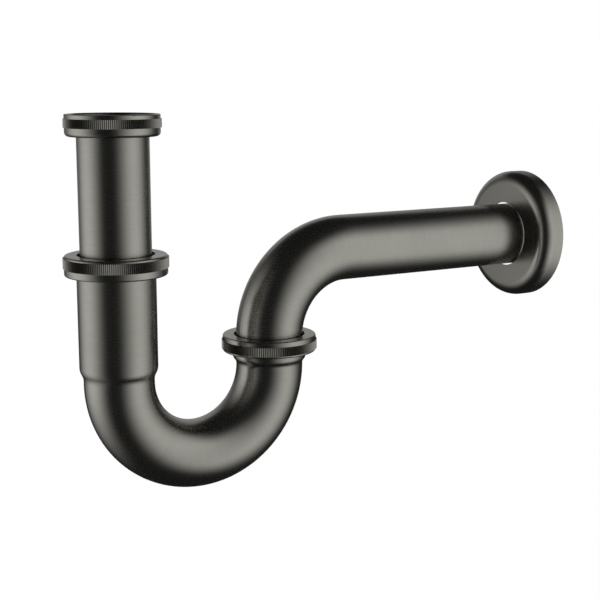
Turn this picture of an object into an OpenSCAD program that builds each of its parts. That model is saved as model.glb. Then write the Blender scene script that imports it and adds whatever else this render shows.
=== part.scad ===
// Tubular sink trap: union nut and down tube, lower bend with a long socket,
// outlet bend with its straight run to the wall, and the cover plate on the wall.
// +Z is up and +X runs from the inlet towards the wall. The origin lies on the
// inlet's axis, on the seat where the waste's end lands inside the top nut.

/* [Tube] */
// Outside diameter of the waste tube
tube_d = 40; // [36:0.5:44]
// Wall of every tube
tube_wall = 1.1; // [0.9:0.1:1.5]
// Distance between the axes of the two legs
leg_spacing = 97.3; // [86:0.1:130]
// Depth of the lower bend's centre below the seat
seat_to_bend = 144.7; // [132:0.1:200]
// Centre-line radius of the outlet bend
outlet_bend_r = 50.4; // [40:0.1:70]
// Distance from the inlet's axis to the wall
wall_reach = 292.3; // [250:0.1:400]

/* [Long socket] */
// Height of the long socket's rim above the lower bend's centre
socket_rise = 69.3; // [60:0.1:76]
// Length of down tube that stands inside the socket
insertion = 44.3; // [30:0.1:46]
// Play between the down tube and the socket, on each side
socket_play = 1.03; // [0.8:0.01:1.3]
// Height of the neck's foot above the bend's centre
neck_rise = 1.6; // [0.5:0.1:4]
// Height of the neck, where the tube widens to the socket
neck_h = 8; // [6:0.1:10]

/* [Outlet socket] */
// Height of the short socket's rim above the lower bend's centre
outlet_rise = 14; // [13:0.1:24]
// Height of the flare's foot above the bend's centre
flare_rise = 0.3; // [0.1:0.1:1]
// Height of the flare, where the tube widens to the short socket
flare_h = 5.5; // [4.5:0.1:6]
// Straight stretch of the outlet's leg above its slip ring
leg_spare = 0.4; // [0.2:0.1:10]
// Space between the foot of the outlet's leg and the top of the flare
leg_foot_gap = 0.2; // [0.1:0.1:0.5]

/* [Joint rings] */
// Wall of the threaded collars, from the socket to the thread
collar_wall = 3.12; // [2.8:0.01:4]
// Solder gap between a socket and its threaded collar
braze_gap = 0.05; // [0.03:0.01:0.1]
// Height of the lip on which the socket's end stops inside the collar
collar_lip = 3; // [2.6:0.1:3.4]
// Depth of the conical seat in a collar's mouth
cone_depth = 2.6; // [2:0.1:2.6]
// Clearance of a seal on its tube, on each side
seal_gap = 0.05; // [0.02:0.01:0.1]
// Clearance between a seal's cone and the seat, across the cone
cone_gap = 0.1; // [0.05:0.01:0.2]
// Height by which a seal stands out of the seat
seal_stand = 1; // [0.8:0.1:1.2]
// Space left below a seal in its seat
seal_foot_gap = 0.2; // [0.1:0.05:0.4]
// Height of the upright edge round a seal's top
seal_edge_h = 0.3; // [0.2:0.05:0.5]
// Thickness of a slip ring in the lower nuts
ring_t = 1.2; // [0.8:0.1:1.6]
// Play between a slip ring and the tube, on each side
ring_play = 0.7; // [0.6:0.05:0.9]
// Play between a slip ring and the thread round it
ring_thread_gap = 0.4; // [0.3:0.05:0.8]

/* [Nuts] */
// Height by which the knurled bands stand out of the nuts
knurl_proud = 0.62; // [0.5:0.01:0.8]
// Depth of the knurl's grooves
knurl_depth = 0.42; // [0.3:0.01:0.5]
// Distance from tooth to tooth along the knurl
knurl_pitch = 1.1; // [1:0.05:2]
// Running clearance of the nuts' threads, on each side
thread_play = 0.1; // [0.05:0.01:0.1]
// Thickness of the lower nuts' shoulders
shoulder_t = 2; // [1.6:0.1:2.4]
// Height of nut below the threaded collar
nut_skirt = 0.9; // [0.6:0.1:1.2]
// Bevel at the mouth of a nut's thread
mouth_bevel = 0.6; // [0.4:0.1:0.8]

/* [Middle nut] */
// Height of the nut on the long socket
middle_nut_h = 11.5; // [11:0.1:14]
// Wall of that nut outside its thread
middle_nut_wall = 3.4; // [3:0.1:5]
// Play between that nut's shoulder and the down tube, on each side
middle_bore_play = 1.75; // [1:0.05:2.2]
// Height of plain rim above its knurled band
middle_rim = 1.4; // [1.2:0.1:2]
// Height of its knurled band
middle_knurl_h = 5.8; // [5:0.1:6.5]
// Radius of its upper edge
middle_edge_r = 1.3; // [0.6:0.1:1.3]
// Radius of its lower edge
middle_foot_r = 1.2; // [0.6:0.1:1.6]

/* [Outlet nut] */
// Height of the nut on the short socket
outlet_nut_h = 9.9; // [9.7:0.1:12]
// Wall of that nut outside its thread
outlet_nut_wall = 2.7; // [2.4:0.1:5]
// Play between that nut's shoulder and the outlet's leg, on each side
outlet_bore_play = 1.4; // [1.2:0.05:2]
// Height of plain rim above its knurled band
outlet_rim = 3.1; // [2:0.1:3.4]
// Height of its knurled band
outlet_knurl_h = 5.4; // [4:0.1:5.4]
// Radius of its upper edge
outlet_edge_r = 1; // [0.6:0.1:1.6]
// Radius of its lower edge
outlet_foot_r = 1; // [0.6:0.1:1.2]

/* [Top nut] */
// Width of the rolled collar outside the down tube
rolled_w = 2.2; // [2:0.05:3]
// Inner radius of the rolled collar's bend
rolled_bend_r = 0.6; // [0.4:0.05:0.6]
// Height of the teeth of the top nut's thread
top_thread_depth = 1.48; // [1.2:0.01:1.6]
// Play between the rolled collar and the thread's teeth
rolled_play = 0.22; // [0.15:0.01:0.4]
// Height of threaded mouth above the seat
top_mouth_h = 6.1; // [5:0.1:10]
// Thickness of the flat rubber washer
gasket_t = 2.5; // [2:0.1:3]
// Play between that washer's hole and the bore of the tube, on each side
gasket_play = 0.1; // [0.05:0.05:0.5]
// Thickness of the slip ring under the rolled collar
top_ring_t = 0.8; // [0.6:0.1:1.2]
// Thickness of the top nut's shoulder
top_shoulder_t = 1.6; // [1.4:0.1:2]
// Play between the top nut's shoulder and the down tube, on each side
top_bore_play = 0.3; // [0.25:0.05:0.5]
// Wall of the top nut outside its thread
top_nut_wall = 2.34; // [2:0.01:4]
// Depth of the groove where the top nut's thread runs out
runout = 0.35; // [0.25:0.05:0.6]
// Height of plain rim above the top nut's knurled band
top_rim = 2.4; // [1.5:0.1:3]
// Height of the top nut's knurled band
top_knurl_h = 4.9; // [4:0.1:5.5]
// Radius of the top nut's lower edge
top_foot_r = 2.4; // [1:0.1:2.4]
// Radius of the top nut's upper edge
top_edge_r = 0.4; // [0.2:0.1:0.6]

/* [Wall plate] */
// Diameter of the wall plate
plate_d = 82.6; // [70:0.1:110]
// Depth of the wall plate
plate_h = 15.3; // [12:0.1:20]
// Outer radius of the wall plate's rounded edge
plate_round = 8; // [4:0.1:10]
// Thickness of the wall plate's sheet
plate_sheet = 1.2; // [0.8:0.1:1.6]
// Play between the plate's hole and the outlet tube, on each side
plate_play = 0.95; // [0.5:0.05:0.95]
// Length of tube that goes into the wall
spigot_len = 12; // [8:0.1:80]
// Depth by which the tube's end is sized down for the wall's seal
spigot_step = 0.25; // [0.22:0.01:0.4]
// Bevel at the tube's end
spigot_bevel = 0.4; // [0.2:0.1:0.6]

/* [Hidden] */
$fn = 96;
METAL = [0.29, 0.285, 0.265];
DARK = [0.09, 0.09, 0.09];
BRASS = [0.62, 0.5, 0.27];

tube_r = tube_d / 2;
inner_r = tube_r - tube_wall;
bend_r = leg_spacing / 2;
bend_z = -seat_to_bend;

socket_in_r = tube_r + socket_play;
socket_r = socket_in_r + tube_wall;
socket_rim_z = bend_z + socket_rise;
outlet_rim_z = bend_z + outlet_rise;
collar_r = socket_r + braze_gap + collar_wall;
thread_r = collar_r + thread_play;
middle_nut_r = thread_r + middle_nut_wall;
outlet_nut_r = thread_r + outlet_nut_wall;
nut_over_rim = seal_stand + ring_t + shoulder_t;

rolled_r = tube_r + rolled_w;
top_thread_r = rolled_r + rolled_play + top_thread_depth;
top_nut_r = top_thread_r + top_nut_wall;
rolled_top_z = -gasket_t;
rolled_foot_z = rolled_top_z - tube_wall;
top_shoulder_z = rolled_foot_z - top_ring_t;
top_nut_z = top_shoulder_z - top_shoulder_t;
top_nut_h = top_mouth_h - top_nut_z;

leg_foot_z = bend_z + flare_rise + flare_h + leg_foot_gap;
outlet_bend_z = outlet_rim_z + seal_stand + ring_t + leg_spare;
outlet_z = outlet_bend_z + outlet_bend_r;
run_x = leg_spacing + outlet_bend_r;
plate_r = plate_d / 2;
end_x = wall_reach + spigot_len;
// Cutters reach this far past what they cut
past = 1;
// Number of steps in each arc of a tube that widens
widening_steps = 10;

// Rectangle of a section, from one radius and height to another
module band(r0, r1, z0, z1) {
    translate([r0, z0]) square([r1 - r0, z1 - z0]);
}

// Part of a section's ring that lies between two directions
module ring_sector(inner, outer, from, to) {
    reach = 2 * outer;
    intersection() {
        difference() {
            circle(outer);
            circle(inner);
        }
        polygon([[0, 0], reach * [cos(from), sin(from)], reach * [cos(to), sin(to)]]);
    }
}

// What a round edge takes off a section's outer corner, at its top or at its foot
module edge_cut(r, z, radius, top) {
    translate([r - radius, top ? z - radius : z + radius])
        mirror([0, top ? 0 : 1, 0])
            difference() {
                square(radius + past);
                circle(radius);
            }
}

// Outline of a straight knurl, with a sharp tooth at every pitch
module knurl_outline(r) {
    teeth = round(2 * PI * r / knurl_pitch);
    polygon([for (i = [0:2 * teeth - 1])
        let (at = 180 * i / teeth, reach = i % 2 == 0 ? r : r - knurl_depth)
        reach * [cos(at), sin(at)]]);
}

// Solid outside form of a nut that stands on z = 0
module nut_blank(r, h, foot_r, edge_r, rim, knurl_h) {
    rotate_extrude()
        difference() {
            square([r, h]);
            edge_cut(r, h, edge_r, true);
            edge_cut(r, 0, foot_r, false);
        }
    translate([0, 0, h - rim - knurl_h])
        linear_extrude(knurl_h) knurl_outline(r + knurl_proud);
}

// Nut that hangs its shoulder over a rim at z = 0 and is threaded below it
module shoulder_nut(r, h, bore_r, foot_r, edge_r, rim, knurl_h) {
    foot_z = nut_over_rim - h;
    difference() {
        translate([0, 0, foot_z]) nut_blank(r, h, foot_r, edge_r, rim, knurl_h);
        rotate_extrude()
            union() {
                band(0, bore_r, foot_z - past, nut_over_rim + past);
                band(0, thread_r, foot_z - past, nut_over_rim - shoulder_t);
                polygon([[0, foot_z - past], [thread_r + mouth_bevel + past, foot_z - past],
                         [thread_r, foot_z + mouth_bevel], [0, foot_z + mouth_bevel]]);
            }
    }
}

// Threaded collar with its rim at z = 0, brazed over the end of a socket
module thread_collar(h) {
    rotate_extrude()
        difference() {
            band(socket_in_r, collar_r, -h, 0);
            band(0, socket_r + braze_gap, -h - past, -collar_lip);
            polygon([[0, past], [socket_in_r + cone_depth + past, past],
                     [socket_in_r, -cone_depth], [0, -cone_depth]]);
        }
}

// Tapered seal for a mouth whose rim is at z = 0
module cone_seal() {
    inset = cone_gap * sqrt(2);
    foot = cone_depth - seal_foot_gap;
    widest = socket_in_r + cone_depth + seal_stand - seal_edge_h;
    rotate_extrude()
        polygon([[tube_r + seal_gap, -foot],
                 [socket_in_r + cone_depth - foot - inset, -foot],
                 [widest, widest - socket_in_r - cone_depth + inset],
                 [widest, seal_stand],
                 [tube_r + seal_gap, seal_stand]]);
}

// Flat ring that lets a lower nut turn without dragging its seal
module slip_ring() {
    rotate_extrude()
        band(tube_r + ring_play, thread_r - ring_thread_gap, seal_stand, seal_stand + ring_t);
}

// Line up a tube that widens to the socket by two equal arcs, at a depth inside its wall
function widening(foot_z, h, depth) =
    let (turn = 2 * atan((socket_r - tube_r) / h), arc_r = h / (2 * sin(turn)))
    concat(
        [for (i = [0:widening_steps])
            let (at = turn * i / widening_steps, reach = arc_r + depth)
            [tube_r + arc_r - reach * cos(at), foot_z + reach * sin(at)]],
        [for (i = [widening_steps - 1:-1:0])
            let (at = turn * i / widening_steps, reach = arc_r - depth)
            [socket_r - arc_r + reach * cos(at), foot_z + h - reach * sin(at)]]);

// Leg of the lower bend, from the bend up to the end inside its threaded collar
module socket_leg(foot_z, h, end_z) {
    inside = widening(foot_z, h, tube_wall);
    rotate_extrude()
        polygon(concat([[inner_r, bend_z], [tube_r, bend_z]], widening(foot_z, h, 0),
                       [[socket_r, end_z], [socket_in_r, end_z]],
                       [for (i = [len(inside) - 1:-1:0]) inside[i]]));
}

// Piece of bent tube round the origin in the XZ plane. Its angles run from +X towards -Z
module bent_tube(radius, from, angle) {
    rotate([-90, 0, 0])
        rotate([0, 0, from])
            rotate_extrude(angle = angle)
                translate([radius, 0])
                    difference() {
                        circle(tube_r);
                        circle(inner_r);
                    }
}

module top_union_nut() {
    color(METAL)
        difference() {
            translate([0, 0, top_nut_z])
                nut_blank(top_nut_r, top_nut_h, top_foot_r, top_edge_r, top_rim, top_knurl_h);
            rotate_extrude()
                union() {
                    band(0, tube_r + top_bore_play, top_nut_z - past, top_shoulder_z + past);
                    band(0, top_thread_r + runout, top_shoulder_z, 0);
                    band(0, top_thread_r, -past, top_mouth_h + past);
                    polygon([[0, top_mouth_h - mouth_bevel],
                             [top_thread_r, top_mouth_h - mouth_bevel],
                             [top_thread_r + mouth_bevel + past, top_mouth_h + past],
                             [0, top_mouth_h + past]]);
                }
        }
}

module top_gasket() {
    color(DARK)
        rotate_extrude() band(inner_r + gasket_play, rolled_r, -gasket_t, 0);
}

module top_slip_ring() {
    color(DARK)
        rotate_extrude() band(tube_r + ring_play, rolled_r, top_shoulder_z, rolled_foot_z);
}

module inlet_tube() {
    turn_z = rolled_foot_z - rolled_bend_r;
    turn_r = tube_r + rolled_bend_r;
    color(METAL)
        rotate_extrude()
            union() {
                band(inner_r, tube_r, socket_rim_z - insertion, turn_z);
                translate([turn_r, turn_z])
                    ring_sector(rolled_bend_r, rolled_bend_r + tube_wall, 90, 180);
                band(turn_r, rolled_r, rolled_foot_z, rolled_top_z);
            }
}

module middle_union_nut() {
    color(METAL)
        translate([0, 0, socket_rim_z])
            shoulder_nut(middle_nut_r, middle_nut_h, tube_r + middle_bore_play, middle_foot_r,
                         middle_edge_r, middle_rim, middle_knurl_h);
}

module middle_slip_ring() {
    color(DARK) translate([0, 0, socket_rim_z]) slip_ring();
}

module middle_cone_seal() {
    color(DARK) translate([0, 0, socket_rim_z]) cone_seal();
}

module socket_thread_collar() {
    color(BRASS)
        translate([0, 0, socket_rim_z]) thread_collar(middle_nut_h - nut_over_rim - nut_skirt);
}

module u_bend() {
    color(METAL) {
        socket_leg(bend_z + neck_rise, neck_h, socket_rim_z - collar_lip);
        translate([bend_r, 0, bend_z]) bent_tube(bend_r, 0, 180);
        translate([leg_spacing, 0, 0])
            socket_leg(bend_z + flare_rise, flare_h, outlet_rim_z - collar_lip);
    }
}

module outlet_thread_collar() {
    color(BRASS)
        translate([leg_spacing, 0, outlet_rim_z])
            thread_collar(outlet_nut_h - nut_over_rim - nut_skirt);
}

module outlet_union_nut() {
    color(METAL)
        translate([leg_spacing, 0, outlet_rim_z])
            shoulder_nut(outlet_nut_r, outlet_nut_h, tube_r + outlet_bore_play, outlet_foot_r,
                         outlet_edge_r, outlet_rim, outlet_knurl_h);
}

module outlet_slip_ring() {
    color(DARK) translate([leg_spacing, 0, outlet_rim_z]) slip_ring();
}

module outlet_cone_seal() {
    color(DARK) translate([leg_spacing, 0, outlet_rim_z]) cone_seal();
}

module outlet_bend() {
    spigot_r = tube_r - spigot_step;
    color(METAL) {
        translate([leg_spacing, 0, 0])
            rotate_extrude() band(inner_r, tube_r, leg_foot_z, outlet_bend_z);
        translate([run_x, 0, outlet_bend_z]) bent_tube(outlet_bend_r, 180, 90);
        translate([run_x, 0, outlet_z])
            rotate([0, 90, 0])
                rotate_extrude()
                    polygon([[inner_r, 0], [tube_r, 0], [tube_r, wall_reach - run_x],
                             [spigot_r, wall_reach - run_x + spigot_step],
                             [spigot_r, end_x - run_x - spigot_bevel],
                             [spigot_r - spigot_bevel, end_x - run_x], [inner_r, end_x - run_x]]);
    }
}

module wall_flange() {
    flat_r = plate_r - plate_round;
    color(METAL)
        translate([wall_reach, 0, outlet_z])
            rotate([0, -90, 0])
                rotate_extrude()
                    union() {
                        band(plate_r - plate_sheet, plate_r, 0, plate_h - plate_round);
                        translate([flat_r, plate_h - plate_round])
                            ring_sector(plate_round - plate_sheet, plate_round, 0, 90);
                        band(tube_r + plate_play, flat_r, plate_h - plate_sheet, plate_h);
                    }
}

top_union_nut();
top_gasket();
top_slip_ring();
inlet_tube();
middle_union_nut();
middle_slip_ring();
middle_cone_seal();
socket_thread_collar();
u_bend();
outlet_thread_collar();
outlet_union_nut();
outlet_slip_ring();
outlet_cone_seal();
outlet_bend();
wall_flange();
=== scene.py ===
import logging
import math
from dataclasses import dataclass, field
from enum import Enum

import bpy
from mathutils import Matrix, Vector


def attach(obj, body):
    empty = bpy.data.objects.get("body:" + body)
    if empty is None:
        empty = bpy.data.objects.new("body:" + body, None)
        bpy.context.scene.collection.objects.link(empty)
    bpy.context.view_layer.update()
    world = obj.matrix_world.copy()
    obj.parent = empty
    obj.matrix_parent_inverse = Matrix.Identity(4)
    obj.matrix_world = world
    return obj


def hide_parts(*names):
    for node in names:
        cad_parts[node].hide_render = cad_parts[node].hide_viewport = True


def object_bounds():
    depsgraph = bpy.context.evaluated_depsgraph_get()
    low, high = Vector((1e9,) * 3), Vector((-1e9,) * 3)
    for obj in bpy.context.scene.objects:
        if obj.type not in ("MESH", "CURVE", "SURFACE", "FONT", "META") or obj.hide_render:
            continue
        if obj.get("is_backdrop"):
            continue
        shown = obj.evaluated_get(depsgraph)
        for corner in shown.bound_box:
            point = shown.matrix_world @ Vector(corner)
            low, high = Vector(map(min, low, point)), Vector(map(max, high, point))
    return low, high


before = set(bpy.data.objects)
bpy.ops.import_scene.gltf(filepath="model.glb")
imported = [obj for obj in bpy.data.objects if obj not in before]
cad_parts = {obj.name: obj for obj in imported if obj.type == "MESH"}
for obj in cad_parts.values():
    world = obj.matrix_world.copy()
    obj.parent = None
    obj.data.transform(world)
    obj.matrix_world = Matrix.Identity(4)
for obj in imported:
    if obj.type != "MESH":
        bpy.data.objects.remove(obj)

# Looks of a tubular sink trap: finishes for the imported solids, real threads in its
# three union joints, and the studio. Lengths are in metres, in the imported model's frame.

LOG = logging.getLogger("sink_trap")

LEG_SPACING = 0.0973
LOWER_BEND_RADIUS = 0.04865
LOWER_BEND_Z = -0.1447
OUTLET_BEND_RADIUS = 0.0504
OUTLET_BEND_X = 0.1477
OUTLET_BEND_Z = -0.1281
OUTLET_Z = -0.0777
OBJECT_CENTRE = (0.12, 0.0, -0.1)


class Slot(Enum):
    """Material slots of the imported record."""

    TUBE = "brushed_gunmetal"
    NUT = "nut_gunmetal"
    PLATE = "plate_gunmetal"
    BRASS = "turned_brass"
    RUBBER = "black_rubber"
    NYLON = "black_nylon"


class Lay(Enum):
    """Ways in which the lines of a finish run round what they are on."""

    INLET_AXIS = "inlet axis"
    OUTLET_LEG_AXIS = "outlet leg axis"
    WALL_AXIS = "wall axis"
    LOWER_BEND = "lower bend"
    OUTLET_BEND = "outlet bend"


@dataclass(frozen=True)
class Course:
    """Coordinates of a point of a turned or bent form, as sockets in metres.

    Attributes:
        along: distance along the axis, bends included.
        radial: distance from the axis.
        side: distance from the axis in the plane of the bends.
        across: distance from that plane.
    """

    along: bpy.types.NodeSocket
    radial: bpy.types.NodeSocket
    side: bpy.types.NodeSocket
    across: bpy.types.NodeSocket


class Shading:
    """Node tree of one material, with short ways to add and join its nodes."""

    def __init__(self, name: str) -> None:
        """Starts an empty material.

        Args:
            name: name of the material.
        """
        self.material = bpy.data.materials.new(name)
        self.material.use_nodes = True
        self.tree = self.material.node_tree
        self.tree.nodes.clear()

    def add(self, kind: str, **settings: object) -> bpy.types.Node:
        """Adds a node and sets its properties.

        Args:
            kind: type name of the node.
            settings: its properties by name.

        Returns:
            The new node.
        """
        made = self.tree.nodes.new(kind)
        for key, value in settings.items():
            setattr(made, key, value)
        return made

    def feed(self, socket: bpy.types.NodeSocket, value: object) -> None:
        """Joins a socket to an input, or sets the input to a plain value.

        Args:
            socket: the input.
            value: an output socket, a number, a colour or a vector.
        """
        if isinstance(value, bpy.types.NodeSocket):
            self.tree.links.new(value, socket)
        else:
            socket.default_value = value

    def math(self, operation: str, *values: object) -> bpy.types.NodeSocket:
        """Adds a Math node.

        Args:
            operation: name of the operation.
            values: its inputs, sockets or numbers.

        Returns:
            The result.
        """
        made = self.add("ShaderNodeMath", operation=operation)
        for socket, value in zip(made.inputs, values):
            self.feed(socket, value)
        return made.outputs[0]

    def spread(
        self, value: bpy.types.NodeSocket, low: float, high: float, to_low: float, to_high: float,
        smooth: bool = False,
    ) -> bpy.types.NodeSocket:
        """Maps a value from one range to another, and holds it inside that range.

        Args:
            value: the value.
            low: start of its range.
            high: end of its range.
            to_low: result at the start.
            to_high: result at the end.
            smooth: whether the result eases in and out.

        Returns:
            The mapped value.
        """
        made = self.add("ShaderNodeMapRange", clamp=True)
        made.interpolation_type = "SMOOTHSTEP" if smooth else "LINEAR"
        for name, given in zip(
            ("Value", "From Min", "From Max", "To Min", "To Max"),
            (value, low, high, to_low, to_high),
        ):
            self.feed(made.inputs[name], given)
        return made.outputs["Result"]

    def vector(self, x: object, y: object, z: object) -> bpy.types.NodeSocket:
        """Joins three values into a vector."""
        made = self.add("ShaderNodeCombineXYZ")
        for socket, value in zip(made.inputs, (x, y, z)):
            self.feed(socket, value)
        return made.outputs[0]

    def place(self) -> tuple[bpy.types.NodeSocket, ...]:
        """Gives the three Object coordinates of the point being shaded."""
        split = self.add("ShaderNodeSeparateXYZ")
        self.feed(split.inputs[0], self.add("ShaderNodeTexCoord").outputs["Object"])
        return tuple(split.outputs)

    def noise(
        self, vector: bpy.types.NodeSocket, turn: object, detail: float, decay: float = 0.5
    ) -> bpy.types.NodeSocket:
        """Adds a noise in four dimensions, at one wave to the unit.

        Args:
            vector: first three coordinates.
            turn: fourth coordinate.
            detail: number of finer octaves.
            decay: strength of each finer octave beside the last.

        Returns:
            The noise, about 0.5.
        """
        made = self.add("ShaderNodeTexNoise", noise_dimensions="4D")
        for name, value in (
            ("Vector", vector), ("W", turn), ("Scale", 1.0), ("Detail", detail), ("Roughness", decay),
        ):
            self.feed(made.inputs[name], value)
        return made.outputs["Fac"]

    def blend_colour(self, factor: object, first: object, second: object) -> bpy.types.NodeSocket:
        """Mixes two colours by a factor."""
        made = self.add("ShaderNodeMix", data_type="RGBA")
        for socket, value in zip((made.inputs[0], made.inputs[6], made.inputs[7]), (factor, first, second)):
            self.feed(socket, value)
        return made.outputs[2]

    def output(self, shader: bpy.types.NodeSocket) -> None:
        """Makes a shader the material's surface."""
        self.feed(self.add("ShaderNodeOutputMaterial").inputs["Surface"], shader)

    def offset(self, value: bpy.types.NodeSocket, origin: float) -> bpy.types.NodeSocket:
        """Measures a coordinate from another origin."""
        return self.math("SUBTRACT", value, origin)

    def hypotenuse(self, a: bpy.types.NodeSocket, b: bpy.types.NodeSocket) -> bpy.types.NodeSocket:
        """Gives the length of two coordinates at right angles."""
        return self.math("SQRT", self.math("ADD", self.math("MULTIPLY", a, a), self.math("MULTIPLY", b, b)))

    def course(self, lay: Lay) -> Course:
        """Finds where a point lies along and round its form.

        Args:
            lay: which form it is on.

        Returns:
            The point's coordinates on that form.
        """
        x, y, z = self.place()
        if lay is Lay.WALL_AXIS:
            side = self.offset(z, OUTLET_Z)
            return Course(x, self.hypotenuse(y, side), side, y)
        if lay is Lay.LOWER_BEND:
            return self.lower_bend_course(x, y, z)
        if lay is Lay.OUTLET_BEND:
            return self.outlet_bend_course(x, y, z)
        side = self.offset(x, LEG_SPACING if lay is Lay.OUTLET_LEG_AXIS else 0.0)
        return Course(z, self.hypotenuse(side, y), side, y)

    def lower_bend_course(
        self, x: bpy.types.NodeSocket, y: bpy.types.NodeSocket, z: bpy.types.NodeSocket
    ) -> Course:
        """Follows the lower bend, down its long leg and up its short one.

        Args:
            x: coordinate along X.
            y: coordinate along Y.
            z: coordinate along Z.

        Returns:
            The point's coordinates on the bend.
        """
        dx = self.offset(x, LOWER_BEND_RADIUS)
        dz = self.offset(z, LOWER_BEND_Z)
        below = self.math("MINIMUM", dz, 0.0)
        above = self.math("MAXIMUM", dz, 0.0)
        turn = self.math("ARCTAN2", self.math("MULTIPLY", below, -1.0), self.math("MULTIPLY", dx, -1.0))
        legs = self.math("MULTIPLY", above, self.math("SIGN", dx))
        along = self.math("ADD", self.math("MULTIPLY", turn, LOWER_BEND_RADIUS), legs)
        side = self.offset(self.hypotenuse(dx, below), LOWER_BEND_RADIUS)
        return Course(along, self.hypotenuse(side, y), side, y)

    def outlet_bend_course(
        self, x: bpy.types.NodeSocket, y: bpy.types.NodeSocket, z: bpy.types.NodeSocket
    ) -> Course:
        """Follows the outlet bend, from its short leg to the wall.

        Args:
            x: coordinate along X.
            y: coordinate along Y.
            z: coordinate along Z.

        Returns:
            The point's coordinates on the bend.
        """
        dx = self.offset(x, OUTLET_BEND_X)
        dz = self.offset(z, OUTLET_BEND_Z)
        before = self.math("MINIMUM", dx, 0.0)
        over = self.math("MAXIMUM", dz, 0.0)
        turn = self.math("ARCTAN2", over, self.math("MULTIPLY", before, -1.0))
        legs = self.math("ADD", self.math("MINIMUM", dz, 0.0), self.math("MAXIMUM", dx, 0.0))
        along = self.math("ADD", self.math("MULTIPLY", turn, OUTLET_BEND_RADIUS), legs)
        side = self.offset(self.hypotenuse(before, over), OUTLET_BEND_RADIUS)
        return Course(along, self.hypotenuse(side, y), side, y)


@dataclass(frozen=True)
class Knurl:
    """Radii between which a knurled band's teeth stand.

    Attributes:
        groove: radius at the foot of the teeth.
        crest: radius at their tips.
    """

    groove: float
    crest: float


@dataclass(frozen=True)
class MetalFinish:
    """Grained metal with fine lines that run round its form.

    Attributes:
        title: name of the finish.
        tint: mean colour.
        swing: share by which the colour varies with the lines and the patches.
        roughness: mean roughness.
        roughness_swing: how far the roughness varies.
        line_gap: distance between the finest lines.
        line_length: length of the lines.
        relief: depth of the lines.
        patch: size of the broad patches.
        painted_groove_shade: painted shade, the dark colour put into the grooves of a knurled band.
    """

    title: str
    tint: tuple[float, float, float]
    swing: float
    roughness: float
    roughness_swing: float
    line_gap: float
    line_length: float
    relief: float
    patch: float
    # Painted shade: dark colour for the grooves of knurled bands.
    painted_groove_shade: tuple[float, float, float] = (0.05, 0.048, 0.042)

    def scaled(self, share: float) -> tuple[float, float, float, float]:
        """Gives the tint made lighter or darker by a share."""
        return tuple(min(1.0, part * share) for part in self.tint) + (1.0,)

    def lines(self, sheet: Shading, course: Course, gap: float, detail: float) -> bpy.types.NodeSocket:
        """Draws lines round the form.

        Args:
            sheet: the material's nodes.
            course: coordinates on the form.
            gap: distance between lines.
            detail: number of finer octaves.

        Returns:
            The strength of the lines, about 0.5.
        """
        vector = sheet.vector(
            sheet.math("DIVIDE", course.along, gap),
            sheet.math("DIVIDE", course.radial, gap),
            sheet.math("DIVIDE", course.side, self.line_length),
        )
        return sheet.noise(vector, sheet.math("DIVIDE", course.across, self.line_length), detail)

    def material(self, lay: Lay, knurl: Knurl | None = None) -> bpy.types.Material:
        """Builds the finish for one form.

        Args:
            lay: the form round which its lines run.
            knurl: radii of the knurled band, whose grooves get painted shade, where the form has one.

        Returns:
            The material.
        """
        sheet = Shading(f"{self.title} {lay.value}")
        course = sheet.course(lay)
        fine = self.lines(sheet, course, self.line_gap, 2.0)
        strokes = self.lines(sheet, course, 5.0 * self.line_gap, 1.0)
        patches = self.patches(sheet)
        mixed = sheet.math(
            "ADD",
            sheet.math("ADD", sheet.math("MULTIPLY", fine, 0.4), sheet.math("MULTIPLY", strokes, 0.25)),
            sheet.math("MULTIPLY", patches, 0.35),
        )
        level = sheet.spread(mixed, 0.3, 0.7, 0.0, 1.0)
        colour = sheet.blend_colour(level, self.scaled(1.0 - self.swing), self.scaled(1.0 + self.swing))
        rough = sheet.spread(
            level, 0.0, 1.0, self.roughness + self.roughness_swing, self.roughness - self.roughness_swing
        )
        # Painted shade: the grooves of the knurled band are darkened in colour, and also made rougher.
        if knurl is not None:
            depth = sheet.spread(course.radial, knurl.groove, knurl.crest, 0.0, 1.0)
            outside = sheet.math("GREATER_THAN", course.radial, 0.5 * knurl.groove + 0.5 * knurl.crest - 0.0004)
            groove_shade_mask = sheet.math("MULTIPLY", outside, sheet.math("SUBTRACT", 1.0, depth))
            colour = sheet.blend_colour(groove_shade_mask, colour, self.painted_groove_shade + (1.0,))
            rough = sheet.math("ADD", rough, sheet.math("MULTIPLY", groove_shade_mask, 0.2))
        shader = sheet.add("ShaderNodeBsdfPrincipled")
        shader.inputs["Metallic"].default_value = 1.0
        sheet.feed(shader.inputs["Base Color"], colour)
        sheet.feed(shader.inputs["Roughness"], rough)
        bump = sheet.add("ShaderNodeBump")
        bump.inputs["Strength"].default_value = 1.0
        bump.inputs["Distance"].default_value = self.relief
        sheet.feed(bump.inputs["Height"], sheet.math("ADD", fine, strokes))
        sheet.feed(shader.inputs["Normal"], bump.outputs[0])
        sheet.output(shader.outputs[0])
        return sheet.material

    def patches(self, sheet: Shading) -> bpy.types.NodeSocket:
        """Draws the broad patches of the finish."""
        x, y, z = sheet.place()
        vector = sheet.vector(
            sheet.math("DIVIDE", x, self.patch),
            sheet.math("DIVIDE", y, self.patch),
            sheet.math("DIVIDE", z, self.patch),
        )
        return sheet.noise(vector, 3.7, 2.0)


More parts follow.
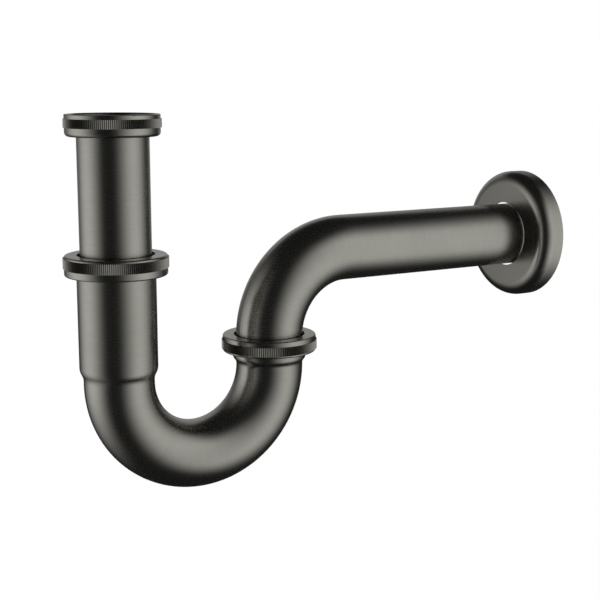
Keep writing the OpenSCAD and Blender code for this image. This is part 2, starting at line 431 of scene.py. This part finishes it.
@dataclass(frozen=True)
class MouldedFinish:
    """Matt moulded rubber or plastic with a fine, even pitting.

    Attributes:
        title: name of the finish.
        tint: mean colour.
        bloom: colour of its paler patches.
        roughness: mean roughness.
        grain: size of the pitting.
        relief: depth of the pitting.
    """

    title: str
    tint: tuple[float, float, float]
    bloom: tuple[float, float, float]
    roughness: float
    grain: float
    relief: float

    def material(self) -> bpy.types.Material:
        """Builds the finish.

        Returns:
            The material.
        """
        sheet = Shading(self.title)
        x, y, z = sheet.place()
        pits, patches = (
            sheet.noise(
                sheet.vector(*(sheet.math("DIVIDE", value, size) for value in (x, y, z))), 1.3, 3.0
            )
            for size in (self.grain, 20.0 * self.grain)
        )
        shader = sheet.add("ShaderNodeBsdfPrincipled")
        level = sheet.spread(patches, 0.35, 0.7, 0.0, 1.0)
        sheet.feed(
            shader.inputs["Base Color"],
            sheet.blend_colour(level, self.tint + (1.0,), self.bloom + (1.0,)),
        )
        sheet.feed(
            shader.inputs["Roughness"],
            sheet.spread(pits, 0.3, 0.7, self.roughness - 0.08, self.roughness + 0.08),
        )
        bump = sheet.add("ShaderNodeBump")
        bump.inputs["Distance"].default_value = self.relief
        sheet.feed(bump.inputs["Height"], pits)
        sheet.feed(shader.inputs["Normal"], bump.outputs[0])
        sheet.output(shader.outputs[0])
        return sheet.material


TUBE_FINISH = MetalFinish(
    "brushed gunmetal", (0.352, 0.345, 0.312), 0.06, 0.265, 0.03, 0.00022, 0.012, 0.000004, 0.03
)
NUT_FINISH = MetalFinish(
    "turned gunmetal", (0.352, 0.345, 0.312), 0.05, 0.24, 0.03, 0.00018, 0.03, 0.000003, 0.02
)
PLATE_FINISH = MetalFinish(
    "spun gunmetal", (0.352, 0.345, 0.312), 0.05, 0.25, 0.03, 0.00022, 0.02, 0.000003, 0.03
)
BRASS_FINISH = MetalFinish(
    "turned brass", (0.62, 0.47, 0.24), 0.08, 0.27, 0.04, 0.0002, 0.02, 0.000004, 0.01
)
RUBBER_FINISH = MouldedFinish("black rubber", (0.012, 0.012, 0.012), (0.022, 0.022, 0.021), 0.62, 0.0003, 0.00003)
NYLON_FINISH = MouldedFinish("black nylon", (0.016, 0.016, 0.017), (0.028, 0.028, 0.029), 0.42, 0.0004, 0.00001)


def dress_node(node: str, material: bpy.types.Material) -> None:
    """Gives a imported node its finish, without touching its mesh.

    Args:
        node: name of the node.
        material: its finish.
    """
    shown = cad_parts[node]
    if not shown.material_slots:
        shown.data.materials.append(material)
    for holder in shown.material_slots:
        holder.material = material
    LOG.info("%s wears %s", node, material.name)


class Lathe:
    """Modelling steps that the turned and threaded pieces share."""

    STEPS = 96

    @staticmethod
    def outline(name: str, points: list[tuple[float, float]]) -> bpy.types.Object:
        """Draws a closed outline of radii and heights, in the XZ plane.

        Args:
            name: name of the piece.
            points: corners of the outline, each a radius and a height.

        Returns:
            The outline's object.
        """
        bpy.ops.object.select_all(action="DESELECT")
        bpy.ops.mesh.primitive_circle_add(vertices=len(points), fill_type="NOTHING")
        piece = bpy.context.object
        piece.name = name
        piece.data.name = name
        for corner, (radius, height) in zip(piece.data.vertices, points):
            corner.co = (radius, 0.0, height)
        return piece

    @staticmethod
    def turn(piece: bpy.types.Object) -> None:
        """Spins the outline a full turn round the Z axis."""
        bpy.ops.object.mode_set(mode="EDIT")
        bpy.ops.mesh.select_all(action="SELECT")
        bpy.ops.mesh.spin(steps=Lathe.STEPS, angle=math.tau, center=(0, 0, 0), axis=(0, 0, 1))
        bpy.ops.object.mode_set(mode="OBJECT")

    @staticmethod
    def wind(piece: bpy.types.Object, pitch: float, turns: float) -> None:
        """Winds the outline round the Z axis as a right-handed thread, and closes its ends.

        Args:
            piece: the outline.
            pitch: rise of each turn.
            turns: number of turns.
        """
        screw = piece.modifiers.new("screw", "SCREW")
        screw.angle = math.tau * turns
        screw.screw_offset = pitch * turns
        screw.steps = screw.render_steps = round(Lathe.STEPS * turns)
        bpy.context.view_layer.objects.active = piece
        bpy.ops.object.modifier_apply(modifier=screw.name)
        bpy.ops.object.mode_set(mode="EDIT")
        bpy.ops.mesh.select_all(action="SELECT")
        bpy.ops.mesh.fill_holes(sides=0)
        bpy.ops.object.mode_set(mode="OBJECT")

    @staticmethod
    def finish(piece: bpy.types.Object, place: tuple[float, float, float]) -> None:
        """Puts a piece in its place in its own mesh, and makes it clean and smooth.

        Args:
            piece: the piece, round the Z axis.
            place: where its origin belongs.
        """
        bpy.ops.object.select_all(action="DESELECT")
        piece.select_set(True)
        bpy.context.view_layer.objects.active = piece
        bpy.ops.object.mode_set(mode="EDIT")
        bpy.ops.mesh.select_all(action="SELECT")
        bpy.ops.mesh.remove_doubles(threshold=1e-6)
        bpy.ops.mesh.normals_make_consistent(inside=False)
        bpy.ops.transform.translate(value=place)
        bpy.ops.object.mode_set(mode="OBJECT")
        bpy.ops.object.shade_smooth_by_angle(angle=math.radians(35))


@dataclass
class Thread:
    """Right-handed thread ridge, which fades out at both its ends.

    Attributes:
        foot_r: radius of the ridge's foot, just inside what carries it.
        crest_r: radius of its crest.
        pitch: rise of each turn.
        foot_w: width of the ridge at its foot.
        crest_w: width of the ridge at its crest.
        z_from: height at which it starts.
        z_to: height at which it ends.
        phase: share of a pitch by which it is set off.
    """

    foot_r: float
    crest_r: float
    pitch: float
    foot_w: float
    crest_w: float
    z_from: float
    z_to: float
    phase: float = 0.0
    fade: float = 0.2

    def build(self, name: str) -> bpy.types.Object:
        """Models the ridge round the Z axis.

        Args:
            name: name of the piece.

        Returns:
            The ridge's object.
        """
        start = self.z_from + 0.5 * self.foot_w
        turns = (self.z_to - self.z_from - self.foot_w) / self.pitch
        corners = [
            (self.foot_r, start - 0.5 * self.foot_w),
            (self.crest_r, start - 0.5 * self.crest_w),
            (self.crest_r, start + 0.5 * self.crest_w),
            (self.foot_r, start + 0.5 * self.foot_w),
        ]
        piece = Lathe.outline(name, corners)
        Lathe.wind(piece, self.pitch, turns)
        self.fade_ends(piece, start, turns)
        return piece

    def fade_ends(self, piece: bpy.types.Object, start: float, turns: float) -> None:
        """Lets the crest sink to the foot over the last part of a turn, and sets the phase.

        Args:
            piece: the wound ridge.
            start: height of the ridge's middle where it starts.
            turns: number of turns.
        """
        shift = math.tau * self.phase
        for corner in piece.data.vertices:
            radius = math.hypot(corner.co.x, corner.co.y)
            angle = math.atan2(corner.co.y, corner.co.x)
            height = (corner.co.z - start) / self.pitch
            whole = height - angle / math.tau
            turned = angle / math.tau + round(whole)
            left = min(turned, turns - turned)
            share = min(1.0, max(0.0, left / self.fade)) if turns > 0 else 1.0
            share = 0.12 + 0.88 * share
            radius = self.foot_r + (radius - self.foot_r) * share
            corner.co.x = radius * math.cos(angle + shift)
            corner.co.y = radius * math.sin(angle + shift)


@dataclass
class UnionJoint:
    """One of the two lower joints: nut, slip ring, cone seal and threaded collar.

    Attributes:
        title: first word of its nodes' names.
        body: body that carries the collar.
        nut_body: body of the nut.
        collar_node: node of the threaded collar.
        lay: axis round which its finishes run.
        axis_x: place of that axis along X.
        rim_z: height of the socket's rim.
        collar_h: height of the collar.
        nut_foot: height of the nut's foot below the rim.
        nut_r: radius of the nut beside its knurled band.
    """

    title: str
    nut_body: str
    collar_node: str
    lay: Lay
    axis_x: float
    rim_z: float
    collar_h: float
    nut_foot: float
    nut_r: float
    body: str = "trap_bend"
    pitch: float = 0.002
    socket_in_r: float = 0.02103
    sleeve_r: float = 0.02218
    root_r: float = 0.02440
    crest_r: float = 0.02528
    nut_thread_r: float = 0.0254
    nut_crest_r: float = 0.02452
    cone_depth: float = 0.0026
    lip: float = 0.003
    nut_shoulder: float = 0.0022

    def collar(self) -> bpy.types.Object:
        """Models the collar with its real thread.

        Returns:
            The collar's object.
        """
        name = self.collar_node + "_threaded"
        bevel = 0.0004
        body = Lathe.outline(
            name,
            [
                (self.socket_in_r, -self.lip),
                (self.socket_in_r, -self.cone_depth),
                (self.socket_in_r + self.cone_depth, 0.0),
                (self.root_r - bevel, 0.0),
                (self.root_r, -bevel),
                (self.root_r, -self.collar_h + bevel),
                (self.root_r - bevel, -self.collar_h),
                (self.sleeve_r, -self.collar_h),
                (self.sleeve_r, -self.lip),
            ],
        )
        Lathe.turn(body)
        ridge = Thread(
            self.root_r - 0.00005, self.crest_r, self.pitch, 0.00125, 0.0004, -self.collar_h + 0.0002, -0.0002
        ).build("ridge")
        bpy.ops.object.select_all(action="DESELECT")
        ridge.select_set(True)
        body.select_set(True)
        bpy.context.view_layer.objects.active = body
        bpy.ops.object.join()
        Lathe.finish(body, (self.axis_x, 0.0, self.rim_z))
        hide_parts(self.collar_node)
        return body

    def nut_thread(self) -> bpy.types.Object:
        """Models the thread inside the nut, which runs in the collar's grooves.

        Returns:
            The thread's object.
        """
        piece = Thread(
            self.nut_thread_r + 0.00005, self.nut_crest_r, self.pitch, 0.00115, 0.0004,
            self.nut_foot + 0.0007, 0.0009, 0.5,
        ).build(self.title + "_nut_thread")
        Lathe.finish(piece, (self.axis_x, 0.0, self.rim_z))
        return piece

    def build(self) -> None:
        """Models the joint's threads and dresses all its pieces."""
        collar = self.collar()
        add_piece(collar, self.body, BRASS_FINISH.material(self.lay))
        nut_finish = NUT_FINISH.material(self.lay, Knurl(self.nut_r + 0.0002, self.nut_r + 0.00062))
        add_piece(self.nut_thread(), self.nut_body, nut_finish)
        dress_node(self.title + "_union_nut", nut_finish)
        dress_node(self.title + "_slip_ring", NYLON_FINISH.material())
        dress_node(self.title + "_cone_seal", RUBBER_FINISH.material())


@dataclass
class InletTail:
    """Top union nut with its washer and slip ring, and the down tube.

    Attributes:
        nut_r: radius of the nut beside its knurled band.
        thread_r: radius of the nut's wall behind the thread.
        thread_crest_r: radius of the thread's crest.
        thread_pitch: rise of each turn.
        mouth_z: height at which the thread ends.
    """

    nut_r: float = 0.02624
    thread_r: float = 0.0239
    thread_crest_r: float = 0.02245
    thread_pitch: float = 0.002309
    mouth_z: float = 0.0057

    def nut_thread(self) -> bpy.types.Object:
        """Models the thread in the nut's mouth, which takes the basin's waste.

        Returns:
            The thread's object.
        """
        piece = Thread(
            self.thread_r + 0.00005, self.thread_crest_r, self.thread_pitch, 0.00205, 0.00035,
            0.0001, self.mouth_z, 0.35,
        ).build("top_nut_thread")
        Lathe.finish(piece, (0.0, 0.0, 0.0))
        return piece

    def build(self) -> None:
        """Models the nut's thread and dresses the pieces of the inlet."""
        nut_finish = NUT_FINISH.material(Lay.INLET_AXIS, Knurl(self.nut_r + 0.0002, self.nut_r + 0.00062))
        add_piece(self.nut_thread(), "top_nut", nut_finish)
        dress_node("top_union_nut", nut_finish)
        dress_node("top_slip_ring", NYLON_FINISH.material())
        dress_node("top_gasket", RUBBER_FINISH.material())
        dress_node("inlet_tube", TUBE_FINISH.material(Lay.INLET_AXIS))


@dataclass
class Bends:
    """The two bent tubes."""

    nodes: dict[str, Lay] = field(
        default_factory=lambda: {"u_bend": Lay.LOWER_BEND, "outlet_bend": Lay.OUTLET_BEND}
    )

    def build(self) -> None:
        """Dresses both tubes, so that the lines run round them all the way."""
        for node, lay in self.nodes.items():
            dress_node(node, TUBE_FINISH.material(lay))


@dataclass
class WallPlate:
    """Cover plate on the wall."""

    node: str = "wall_flange"

    def build(self) -> None:
        """Dresses the plate, with its lines round the outlet's axis."""
        dress_node(self.node, PLATE_FINISH.material(Lay.WALL_AXIS))


def add_piece(piece: bpy.types.Object, body: str, material: bpy.types.Material) -> None:
    """Gives a new piece its finish and the body that it rides on.

    Args:
        piece: the finished piece.
        body: name of the body.
        material: its finish.
    """
    piece.data.materials.clear()
    piece.data.materials.append(material)
    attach(piece, body)
    LOG.info("%s rides on %s and wears %s", piece.name, body, material.name)


@dataclass(frozen=True)
class Window:
    """Soft-edged opening in the dark tent, seen from the object.

    Attributes:
        azimuth: direction of its middle, from +X towards +Y, in degrees.
        half_width: half of its bright width, in degrees.
        fall_width: width over which each side fades, in degrees.
        elevation: height of its middle, in degrees.
        half_height: half of its bright height, in degrees.
        fall_height: height over which its top and foot fade, in degrees.
        opening: share of light that it lets through.
    """

    azimuth: float
    half_width: float
    fall_width: float
    elevation: float
    half_height: float
    fall_height: float
    opening: float


@dataclass
class Studio:
    """White room with a pale floor, and a tent of dark cards for the metal to reflect.

    Attributes:
        floor_z: height of the floor.
        floor_size: width of the floor.
        tent_radius: radius of the tent.
        leak: share of light that the cards let through everywhere.
        windows: the tent's openings.
    """

    floor_z: float = -1.15
    floor_size: float = 40.0
    tent_radius: float = 1.0
    leak: float = 0.02
    windows: tuple[Window, ...] = (
        Window(-52.0, 2.0, 66.0, -1.0, 26.0, 40.0, 0.9),
        Window(157.0, 2.0, 54.0, -7.0, 2.0, 60.0, 1.0),
        Window(67.0, 2.0, 55.0, 14.0, 18.0, 8.0, 0.42),
    )

    def room(self) -> None:
        """Lights the object evenly with a white room."""
        world = bpy.data.worlds.new("white room")
        bpy.context.scene.world = world
        world.use_nodes = True
        light = world.node_tree.nodes["Background"]
        light.inputs["Color"].default_value = (1.0, 1.0, 1.0, 1.0)
        light.inputs["Strength"].default_value = 1.0

    def floor(self) -> None:
        """Lays the pale floor, which keeps the object's shadow."""
        bpy.ops.object.select_all(action="DESELECT")
        bpy.ops.mesh.primitive_plane_add(size=self.floor_size, location=(0.0, 0.0, self.floor_z))
        bpy.ops.object.transform_apply(location=True)
        ground = bpy.context.object
        ground.name = "floor"
        sheet = Shading("pale floor")
        shader = sheet.add("ShaderNodeBsdfDiffuse")
        shader.inputs["Color"].default_value = (1.0, 1.0, 1.0, 1.0)
        sheet.output(shader.outputs[0])
        ground.data.materials.append(sheet.material)
        ground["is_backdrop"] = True

    def tent(self) -> None:
        """Hangs the tent of cards, which only shiny surfaces see."""
        bpy.ops.object.select_all(action="DESELECT")
        bpy.ops.mesh.primitive_uv_sphere_add(
            segments=48, ring_count=24, radius=self.tent_radius, location=OBJECT_CENTRE
        )
        bpy.ops.object.transform_apply(location=True)
        cards = bpy.context.object
        cards.name = "tent"
        cards.data.materials.append(self.cards())
        cards.visible_camera = False
        cards.visible_diffuse = False
        cards.visible_transmission = False
        cards.visible_volume_scatter = False
        cards.visible_shadow = False
        cards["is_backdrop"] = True

    def cards(self) -> bpy.types.Material:
        """Builds the tent's dark card with its soft-edged windows.

        Returns:
            The material.
        """
        sheet = Shading("dark card")
        x, y, z = (sheet.offset(value, origin) for value, origin in zip(sheet.place(), OBJECT_CENTRE))
        rise = sheet.math("ARCTAN2", z, sheet.hypotenuse(x, y))
        opening = None
        for window in self.windows:
            share = self.window(sheet, window, x, y, z, rise)
            opening = share if opening is None else sheet.math("ADD", opening, share)
        opening = sheet.math("MINIMUM", sheet.math("ADD", opening, self.leak), 1.0)
        card = sheet.add("ShaderNodeBsdfDiffuse")
        card.inputs["Color"].default_value = (0.0, 0.0, 0.0, 1.0)
        clear = sheet.add("ShaderNodeBsdfTransparent")
        mixed = sheet.add("ShaderNodeMixShader")
        for socket, value in zip(mixed.inputs, (opening, card.outputs[0], clear.outputs[0])):
            sheet.feed(socket, value)
        sheet.output(mixed.outputs[0])
        return sheet.material

    def window(
        self, sheet: Shading, window: Window, x: bpy.types.NodeSocket, y: bpy.types.NodeSocket,
        z: bpy.types.NodeSocket, rise: bpy.types.NodeSocket,
    ) -> bpy.types.NodeSocket:
        """Draws one window of the tent.

        Args:
            sheet: the card's nodes.
            window: the window.
            x: distance from the object along X.
            y: distance from the object along Y.
            z: distance from the object along Z.
            rise: elevation, in radians.

        Returns:
            The share of light that the window lets through.
        """
        spin = sheet.add("ShaderNodeVectorRotate", rotation_type="Z_AXIS")
        sheet.feed(spin.inputs["Vector"], sheet.vector(x, y, z))
        spin.inputs["Angle"].default_value = -math.radians(window.azimuth)
        split = sheet.add("ShaderNodeSeparateXYZ")
        sheet.feed(split.inputs[0], spin.outputs[0])
        aside = sheet.math("ABSOLUTE", sheet.math("ARCTAN2", split.outputs[1], split.outputs[0]))
        above = sheet.math("ABSOLUTE", sheet.offset(rise, math.radians(window.elevation)))
        share = window.opening
        for value, half, fall in (
            (aside, window.half_width, window.fall_width),
            (above, window.half_height, window.fall_height),
        ):
            edge = sheet.spread(value, math.radians(half), math.radians(half + fall), 1.0, 0.0, True)
            share = sheet.math("MULTIPLY", edge, share)
        return share

    def build(self) -> None:
        """Sets up the room, the floor and the tent."""
        self.room()
        self.floor()
        self.tent()
        LOG.info("studio with %d windows", len(self.windows))


@dataclass
class PhotoCamera:
    """Camera at the photograph's viewing angle.

    Attributes:
        place: where it stands.
        target: the point that it looks at.
        lens: focal length, in millimetres.
    """

    place: tuple[float, float, float] = (-0.2585, -0.6401, 0.0281)
    target: tuple[float, float, float] = (0.1189, 0.0, -0.1082)
    lens: float = 74.32

    def build(self) -> None:
        """Stands the camera up and makes it the scene's."""
        bpy.ops.object.camera_add(location=self.place)
        camera = bpy.context.object
        camera.name = "camera"
        camera.data.lens = self.lens
        camera.data.sensor_width = 36.0
        aim = Vector(self.target) - Vector(self.place)
        camera.rotation_euler = aim.to_track_quat("-Z", "Y").to_euler()
        bpy.context.scene.camera = camera


def corners() -> list[list[float]]:
    """Gives the shown object's box as plain numbers."""
    return [list(corner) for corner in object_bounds()]


def main() -> None:
    """Builds the camera, the studio and every piece."""
    logging.basicConfig(level=logging.INFO, format="%(message)s")
    bpy.context.scene.view_settings.view_transform = "Standard"
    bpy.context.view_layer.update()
    PhotoCamera().build()
    Studio().build()
    InletTail().build()
    UnionJoint(
        "middle", "middle_nut", "socket_thread_collar", Lay.INLET_AXIS, 0.0, -0.0754, 0.0064, -0.0073, 0.0288
    ).build()
    UnionJoint(
        "outlet", "outlet_nut", "outlet_thread_collar", Lay.OUTLET_LEG_AXIS, LEG_SPACING, -0.1307, 0.0048,
        -0.0057, 0.0281,
    ).build()
    Bends().build()
    WallPlate().build()


if __name__ == "__main__":
    main()
